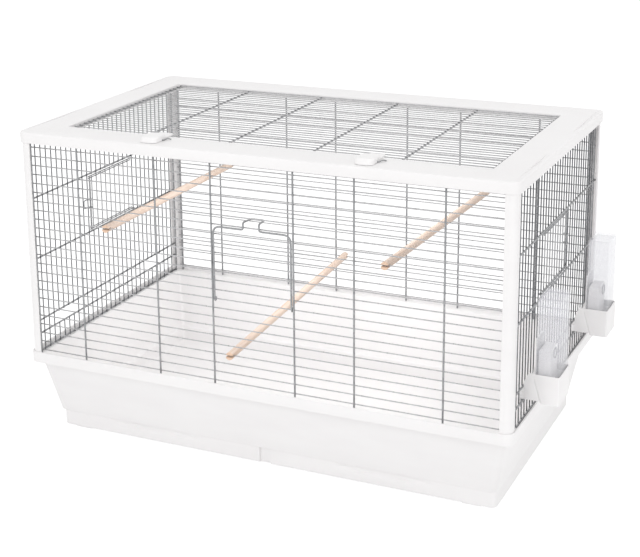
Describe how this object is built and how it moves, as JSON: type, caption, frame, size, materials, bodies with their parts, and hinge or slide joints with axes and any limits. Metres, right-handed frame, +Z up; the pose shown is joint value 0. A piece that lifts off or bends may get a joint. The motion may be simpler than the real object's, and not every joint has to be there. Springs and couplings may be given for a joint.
{
  "type": "bird cage",
  "caption": "Wire bird cage with deep white plastic tray, roof frame and lid, front and side doors, perches and outside hopper feeders.",
  "frame": {"origin": "bottom centre of the whole cage's bounding box, feeders included, on the plane that the tray's pads stand on", "axes": "+X along the cage towards the wall with the feeders, -Y out of the front with the front door, +Z up"},
  "size_m": [0.8454, 0.485, 0.5086],
  "materials": {
    "white_plastic": "satin white, faintly cool",
    "clear_plastic": "milky clear, glossy",
    "steel_wire": "bright zinc-plated wire",
    "perch_wood": "bare pale wood"
  },
  "bodies": {
    "cage": {"base_tray": "white_plastic", "top_frame": "white_plastic", "front_left_post": "white_plastic", "front_right_post": "white_plastic", "back_left_post": "white_plastic", "back_right_post": "white_plastic", "front_grille": "steel_wire", "back_grille": "steel_wire", "left_grille": "steel_wire", "right_grille": "steel_wire", "left_perch": "perch_wood", "middle_perch": "perch_wood", "right_perch": "perch_wood"},
    "lid": {"roof_lid": "steel_wire"},
    "left_lid_latch": {"lid_latch_left": "white_plastic"},
    "right_lid_latch": {"lid_latch_right": "white_plastic"},
    "front_door": {"front_door": "steel_wire"},
    "left_door": {"left_door": "steel_wire"},
    "left_clip": {"left_door_clip": "steel_wire"},
    "right_door": {"right_door": "steel_wire"},
    "right_clip": {"right_door_clip": "steel_wire"},
    "front_cup": {"front_feeder_cup": "white_plastic", "front_feeder_ring": "steel_wire"},
    "front_hood": {"front_feeder_hood": "clear_plastic"},
    "back_cup": {"back_feeder_cup": "white_plastic", "back_feeder_ring": "steel_wire"},
    "back_hood": {"back_feeder_hood": "clear_plastic"}
  },
  "joints": [
    {"name": "lid_hinge", "type": "hinge", "parent": "cage", "child": "lid", "pos_m": [-0.02275, 0.1785, 0.497], "axis": [-1, 0, 0], "range_deg": [0, 110]},
    {"name": "left_latch_slide", "type": "slide", "parent": "lid", "child": "left_lid_latch", "axis": [0, 1, 0], "range_m": [0, 0.012]},
    {"name": "right_latch_slide", "type": "slide", "parent": "lid", "child": "right_lid_latch", "axis": [0, 1, 0], "range_m": [0, 0.012]},
    {"name": "front_door_hinge", "type": "hinge", "parent": "cage", "child": "front_door", "pos_m": [-0.02275, -0.233, 0.27151], "axis": [1, 0, 0], "range_deg": [0, 155]},
    {"name": "left_door_hinge", "type": "hinge", "parent": "cage", "child": "left_door", "pos_m": [-0.41275, 0.07975, 0.2912], "axis": [0, 0, -1], "range_deg": [0, 150]},
    {"name": "left_clip_hinge", "type": "hinge", "parent": "left_door", "child": "left_clip", "pos_m": [-0.41217, -0.058, 0.3296], "axis": [0, 0, -1], "range_deg": [0, 120]},
    {"name": "right_door_hinge", "type": "hinge", "parent": "cage", "child": "right_door", "pos_m": [0.36725, -0.07975, 0.2912], "axis": [0, 0, -1], "range_deg": [0, 105]},
    {"name": "right_clip_hinge", "type": "hinge", "parent": "right_door", "child": "right_clip", "pos_m": [0.36668, 0.058, 0.3296], "axis": [0, 0, 1], "range_deg": [0, 120]},
    {"name": "front_cup_lift", "type": "slide", "parent": "cage", "child": "front_cup", "axis": [0, 0, 1], "range_m": [0, 0.007]},
    {"name": "front_hood_lift", "type": "slide", "parent": "front_cup", "child": "front_hood", "axis": [0, 0, 1], "range_m": [0, 0.025]},
    {"name": "back_cup_lift", "type": "slide", "parent": "cage", "child": "back_cup", "axis": [0, 0, 1], "range_m": [0, 0.007]},
    {"name": "back_hood_lift", "type": "slide", "parent": "back_cup", "child": "back_hood", "axis": [0, 0, 1], "range_m": [0, 0.025]}
  ]
}
